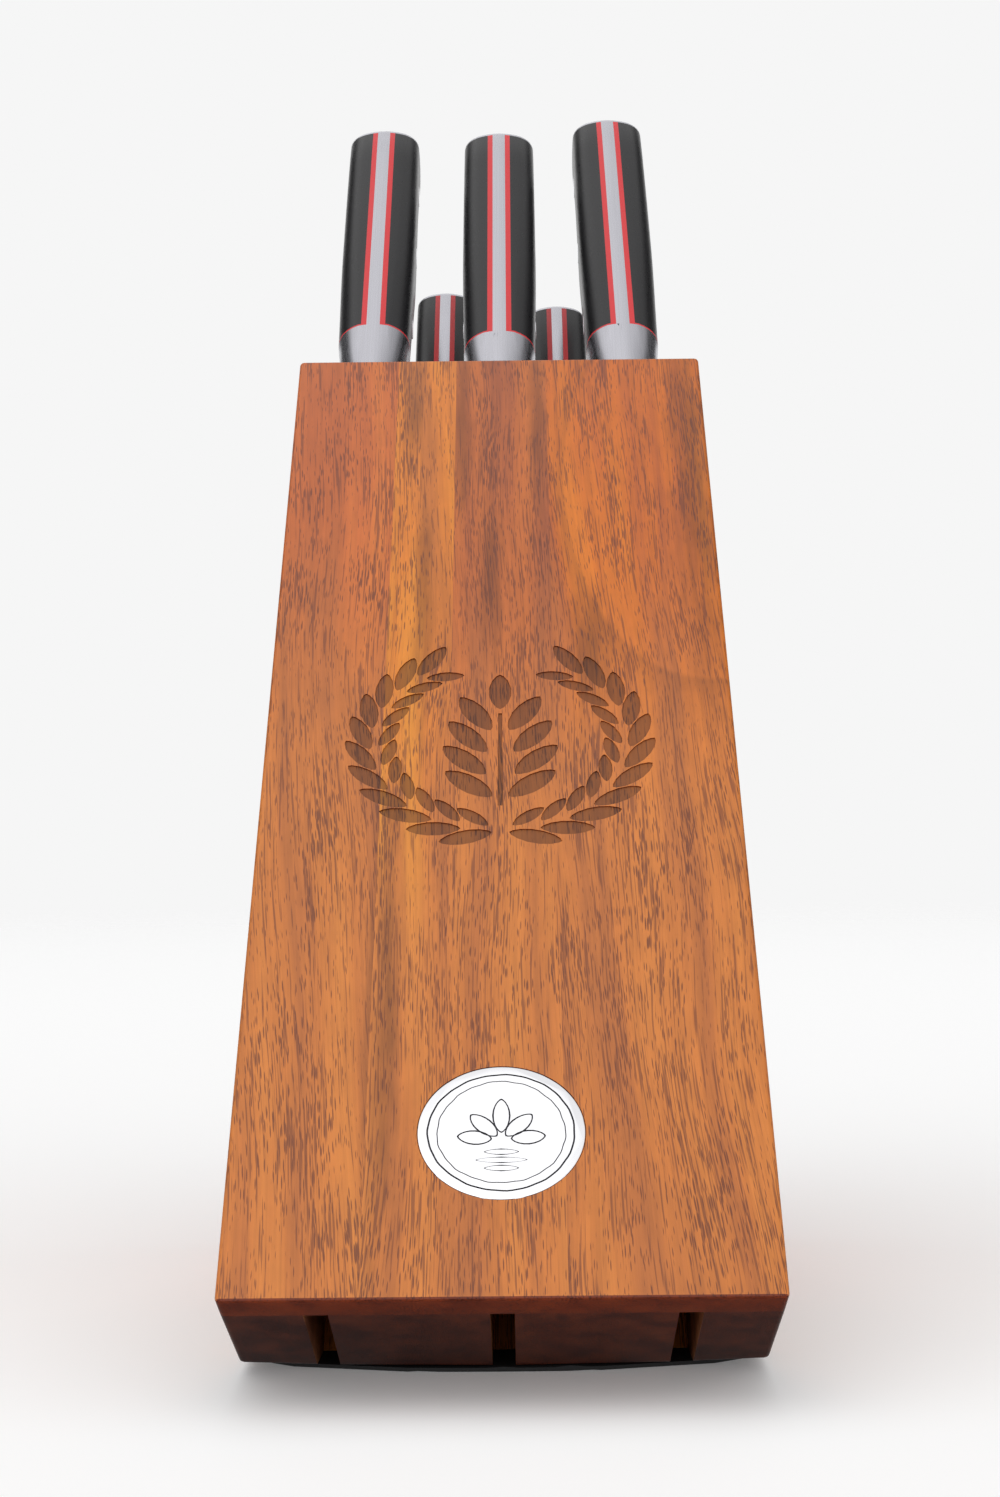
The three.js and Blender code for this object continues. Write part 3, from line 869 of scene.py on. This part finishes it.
def grip_section(knife, z, shrink=1.0):
    """Cross-section of a knife's grip or bolster at a height above the slab."""
    along = (z - GRIP_START) / (knife.tip - GRIP_START)
    height = curve_value(GRIP_HEIGHTS, along) * knife.size
    slim = knife.half * (0.93 + 0.07 * smooth_step(0.15, 0.55, along))
    rise = CROWN_RISE * knife.size
    crown = full = keel = slim
    full += 0.35 * knife.size
    easing = 5.2 - 1.8 * smooth_step(0, 0.9, along)
    if z < knife.bolster:
        t = (z - GRIP_START) / (knife.bolster - GRIP_START)
        crown = slim * (0.4 + 0.6 * t ** 1.5)
        full = (slim + 0.1) * (0.92 + 0.08 * t)
        keel = slim * (0.55 + 0.45 * t)
        rise *= 0.4 + 0.6 * t
        easing = 0.4 + 4.8 * t ** 3
    droop = BUTT_DROOP * smooth_step(knife.tip - DROOP_LENGTH, knife.tip + DROOP_LENGTH, z)
    ring = grip_ring(z, knife.spine + droop, crown * shrink, rise * shrink, keel * shrink,
                     KEEL_RISE * knife.size * shrink, full * shrink, height - droop, easing * knife.size)
    if shrink != 1.0:
        middle = knife.spine + height / 2
        for point in ring:
            point.y = middle + (point.y - middle) * (1 - (1 - shrink) * 0.75)
    return ring


def grip_solid(knife):
    """Bolster, grip and rounded butt as one solid."""
    bolster_steps, grip_steps = 9, 26
    heights = [GRIP_START + (knife.bolster - GRIP_START) * i / bolster_steps for i in range(bolster_steps)]
    end = knife.tip - 0.9
    heights += [knife.bolster + (end - knife.bolster) * i / grip_steps for i in range(grip_steps + 1)]
    stations = [grip_section(knife, z) for z in heights]
    stations += [grip_section(knife, knife.tip - back, shrink) for back, shrink in BUTT_ROUNDING]
    return loft(stations)


BLADES = {
    # spine depth, blade height, depth of the point below the spine, edge's straight share
    "slicer": (9.4, 34.0, 9.0, 0.55),
    "santoku": (9.4, 43.6, 34.0, 0.55),
    "chef": (9.4, 43.6, 15.0, 0.35),
    "utility": (59.2, 24.0, 7.0, 0.5),
    "paring": (59.2, 21.0, 7.0, 0.4),
}


def blade_solid(knife):
    """A flat-ground blade: wedge sections from the heel to the point."""
    spine, height, point, straight = BLADES[knife.name]
    length = knife.blade
    stations = []
    steps = 36
    for i in range(steps + 1):
        t = i / steps
        z = 6 - (length + 6) * t if i else 6
        down = max(-z, 0) / length
        fall = max((down - 0.6) / 0.4, 0)
        top = spine + point * fall ** 2.2
        rise = max((down - straight) / (1 - straight), 0)
        edge = spine + height - (height - point) * rise ** 2.4
        if z > -3:
            edge = spine + 18 * knife.size
        if i == steps:
            top, edge = spine + point - 0.35, spine + point + 0.05
        thick = 1.0 * (1 - 0.45 * down)
        grind = top + (edge - top) * 0.72
        stations.append([Vector(p) for p in (
            (0, top, z), (thick * 0.8, top + 0.05, z), (thick, top + 0.35, z), (thick * 0.62, grind, z),
            (0.06, edge, z), (-0.06, edge, z), (-thick * 0.62, grind, z), (-thick, top + 0.35, z),
            (-thick * 0.8, top + 0.05, z))])
    return loft(stations)


def rivet_pin(centre, radius, half_length, dome):
    """A pin across the grip with slightly domed, chamfered ends."""
    bm = bmesh.new()
    profile = [(0, half_length + dome), (radius * 0.5, half_length + dome * 0.8),
               (radius * 0.93, half_length + dome * 0.35), (radius, half_length), (radius, 0)]
    verts = [bm.verts.new((x, 0, z)) for x, z in profile]
    edges = [bm.edges.new(pair) for pair in zip(verts, verts[1:])]
    bmesh.ops.spin(bm, geom=verts + edges, cent=(0, 0, 0), axis=(0, 0, 1), angle=math.tau,
                   steps=40, use_merge=True)
    bmesh.ops.mirror(bm, geom=bm.verts[:] + bm.edges[:] + bm.faces[:], axis="Z", merge_dist=0.001)
    bmesh.ops.remove_doubles(bm, verts=bm.verts, dist=0.001)
    bmesh.ops.rotate(bm, verts=bm.verts, cent=(0, 0, 0), matrix=Matrix.Rotation(math.radians(90), 3, "Y"))
    bmesh.ops.translate(bm, verts=bm.verts, vec=(0, centre.y, centre.z))
    bmesh.ops.recalc_face_normals(bm, faces=bm.faces)
    return bm


def beyond(bm, side, distance):
    """A copy that keeps what lies past a distance towards one side (-1 or 1) of a knife's middle."""
    return clipped(bm, 0, distance, None) if side > 0 else clipped(bm, 0, None, -distance)


class MakeKnife(bpy.types.Operator):
    """Make one knife: forged blade with bolster and tang, liners, scales, rivets and butt cap"""

    bl_idname = "knifeblock.make_knife"
    bl_label = "Knife"

    knife: StringProperty(name="Knife", description="Which knife of the set to make", default="chef")

    def execute(self, context):
        knife = Knife(self.knife)
        finishes = context.scene.knife_finishes
        steel = satin_steel(f"satin blade steel {knife.name}", finishes.steel)
        red = resin_laminate(f"red fibre liner {knife.name}", finishes.liner, 0.4, 0.08)
        black = resin_laminate(f"black resin laminate {knife.name}", finishes.scale, 0.3, 0.25)
        pin = polished_metal(f"polished pin steel {knife.name}", colour("#dcdce0"), 0.12)
        name, place, body = knife.name, knife.place, knife.body
        whole = grip_solid(knife)
        cap_start = knife.tip - CAP
        liner_outer = knife.tang + LINER
        flange_end = knife.bolster + FLANGE

        grip = clipped(whole, 2, knife.bolster, cap_start)
        bolster = clipped(whole, 2, None, knife.bolster)
        tang = clipped(clipped(whole, 2, knife.bolster - 1, cap_start), 0, -knife.tang, knife.tang)
        forged = combined(combined(bolster, tang, "UNION"), blade_solid(knife), "UNION")
        finish_piece(f"{name}_forged_blade", forged, place, [steel], f"{name}_blade", body)
        cap = clipped(whole, 2, cap_start, None)
        finish_piece(f"{name}_steel_butt", cap, place, [steel], f"{name}_butt_cap", body)
        for side, sign in (("left", -1), ("right", 1)):
            half_grip = beyond(grip, sign, knife.tang)
            sheet = beyond(half_grip, -sign, -liner_outer)
            flange = clipped(half_grip, 2, None, flange_end)
            liner = combined(sheet, flange, "UNION")
            finish_piece(f"{name}_red_liner_{side}", liner, place, [red], f"{name}_liner_{side}", body)
            scale = clipped(beyond(half_grip, sign, liner_outer), 2, flange_end, None)
            finish_piece(f"{name}_black_scale_{side}", scale, place, [black], f"{name}_scale_{side}", body)
            half_grip.free()
        for node in [node for node in frame["nodes"] if node.startswith(f"{name}_rivet_")]:
            low, high = local_box(node, place)
            centre = (low + high) / 2
            flank = max(v.co.x for v in whole.verts
                        if abs(v.co.z - centre.z) < 3 and abs(v.co.y - centre.y) < 3)
            rivet = rivet_pin(centre, (high.y - low.y) / 2, flank - 0.02, 0.12)
            finish_piece(node.replace("rivet", "pin"), rivet, place, [pin], node, body)
        whole.free()
        grip.free()
        return {"FINISHED"}


class KnifeFinishes(bpy.types.PropertyGroup):
    """Colours of the knives that a user may change."""

    steel: FloatVectorProperty(
        name="Steel", description="Colour of the blade steel", subtype="COLOR", size=3,
        default=colour("#c8c7ce")[:3], min=0.0, max=1.0)
    liner: FloatVectorProperty(
        name="Liner", description="Colour of the fibre liners", subtype="COLOR", size=3,
        default=colour("#d22e34")[:3], min=0.0, max=1.0)
    scale: FloatVectorProperty(
        name="Scale", description="Colour of the handle scales", subtype="COLOR", size=3,
        default=colour("#121114")[:3], min=0.0, max=1.0)


# ---------------------------------------------------------------- stage

CAMERA_PLACE = (3.7, -635.5, 99.8)       # millimetres in the row frame
CAMERA_TURN = (92.007, 0.564, 0.4015)    # degrees about X, Y and Z
CAMERA_LENS = 63.93                      # millimetres on a 36 mm long side

PALE = "#f6f6f6"                         # the backdrop, and the floor in even light
FLOOR_PAINT = "#f1f1f1"
FLOOR_GLOW = 0.14                        # light that comes through the floor from below
FLOOR_REACH = 4.0                        # metres to where the floor has faded into the backdrop
# brightness round the studio, from in front of the object (0) to behind it (1): a broad fill,
# dark flags on both sides, and the backdrop between them
STUDIO_ROUND = (
    (0.0, 1.2), (0.5, 0.95), (0.68, 0.7), (0.76, 0.04), (0.935, 0.04), (0.965, 0.95), (1.0, 1.0))
# brightness of the wide light above, from in front of the object (0) to behind it (1)
OVERHEAD = ((0.17, 1.75), (0.58, 1.0), (0.66, 0.82), (0.76, 1.08))
OVERHEAD_RIGHT = 0.5                     # share of it that is left on the right-hand side
BELOW_NEAR, BELOW_FAR = 0.05, 0.75       # what the object mirrors straight below and far off


def studio_world():
    """A studio round the object: a wide light overhead, a bright backdrop and dark flags beside it."""
    world = bpy.data.worlds.new("studio")
    world.use_nodes = True
    tree = world.node_tree
    direction = add(tree, "TexCoord").outputs["Generated"]
    split = add(tree, "SeparateXYZ", {0: direction}).outputs
    flat = vector_calc(tree, "MULTIPLY", direction, (1, 1, 0))
    level = vector_calc(tree, "NORMALIZE", flat)
    level = add(tree, "SeparateXYZ", {0: level}).outputs["Y"]
    turned, backward = [remap(tree, y, -1.0, 1.0) for y in (level, split["Y"])]
    around = add(tree, "ValToRGB", {"Fac": turned}, stops=STUDIO_ROUND)
    above = add(tree, "ValToRGB", {"Fac": backward}, stops=OVERHEAD)
    rightward = remap(tree, split["X"], 0.0, 0.6, 1.0, OVERHEAD_RIGHT)
    above = calc(tree, "MULTIPLY", above, rightward)
    overhead = remap(tree, split["Z"], 0.6, 0.76, interpolation_type="SMOOTHSTEP")
    light = mixed(tree, overhead, around, above)
    horizon = remap(tree, split["Z"], -0.05, 0.03)
    below = remap(tree, split["Z"], -0.55, -0.2, BELOW_NEAR, BELOW_FAR)
    light = mixed(tree, horizon, below, light)
    seen = add(tree, "LightPath").outputs["Is Camera Ray"]
    shown = mixed(tree, seen, light, colour(PALE))
    tree.links.new(given(shown), tree.nodes["Background"].inputs["Color"])
    return world


def studio_floor():
    """A pale floor, lit a little from below, that fades into the backdrop far from the object."""
    bm = bmesh.new()
    bmesh.ops.create_circle(bm, cap_ends=True, segments=64, radius=FLOOR_REACH)
    mesh = bpy.data.meshes.new("floor")
    bm.to_mesh(mesh)
    bm.free()
    material, tree, bsdf = new_material("matt white acrylic floor", {
        "Base Color": colour(FLOOR_PAINT), "Roughness": 0.95, "Specular IOR Level": 0.0,
        "Emission Color": colour(PALE), "Emission Strength": FLOOR_GLOW})
    away = vector_calc(tree, "LENGTH", add(tree, "TexCoord").outputs["Object"])
    kept = remap(tree, away, 0.9, FLOOR_REACH * 0.9, 1.0, 0.0, interpolation_type="SMOOTHSTEP")
    tree.links.new(given(kept), bsdf.inputs["Alpha"])
    mesh.materials.append(material)
    floor = bpy.data.objects.new("floor", mesh)
    floor.visible_glossy = False
    return floor


class MakeStage(bpy.types.Operator):
    """Make the pale floor, the studio light and the camera"""

    bl_idname = "knifeblock.make_stage"
    bl_label = "Stage"

    def execute(self, context):
        scene = context.scene
        scene.view_settings.view_transform = "Standard"
        scene.world = studio_world()
        scene.collection.objects.link(studio_floor())

        camera = bpy.data.objects.new("camera", bpy.data.cameras.new("camera"))
        camera.location = Vector(CAMERA_PLACE) * MM
        camera.rotation_euler = [math.radians(angle) for angle in CAMERA_TURN]
        camera.data.lens = CAMERA_LENS
        camera.data.sensor_width = 36.0
        camera.data.clip_start = 0.01
        scene.collection.objects.link(camera)
        scene.camera = camera
        return {"FINISHED"}


# ---------------------------------------------------------------- add-on

class KnifeBlockPanel(bpy.types.Panel):
    """Sizes, finishes and one button for each group of pieces"""

    bl_idname = "VIEW3D_PT_knife_block"
    bl_label = "Knife Block"
    bl_space_type = "VIEW_3D"
    bl_region_type = "UI"
    bl_category = "Knife Block"

    def draw(self, context):
        layout = self.layout
        for group in (context.scene.knife_block, context.scene.knife_finishes):
            for name in group.__annotations__:
                layout.prop(group, name)
        for operator in (MakeSlab, MakeFoot, MakeBadge, MakeStage):
            layout.operator(operator.bl_idname)
        for knife in KNIVES:
            layout.operator(MakeKnife.bl_idname, text=f"Knife: {knife}").knife = knife


CLASSES = (KnifeBlockSizes, KnifeFinishes, MakeSlab, MakeFoot, MakeBadge, MakeKnife, MakeStage,
           KnifeBlockPanel)


def register():
    for item in CLASSES:
        bpy.utils.register_class(item)
    bpy.types.Scene.knife_block = PointerProperty(type=KnifeBlockSizes)
    bpy.types.Scene.knife_finishes = PointerProperty(type=KnifeFinishes)


def unregister():
    del bpy.types.Scene.knife_finishes
    del bpy.types.Scene.knife_block
    for item in reversed(CLASSES):
        bpy.utils.unregister_class(item)


def main():
    register()
    bpy.ops.knifeblock.make_slab()
    bpy.ops.knifeblock.make_foot()
    bpy.ops.knifeblock.make_badge()
    for knife in KNIVES:
        bpy.ops.knifeblock.make_knife(knife=knife)
    bpy.ops.knifeblock.make_stage()


if __name__ == "__main__":
    main()
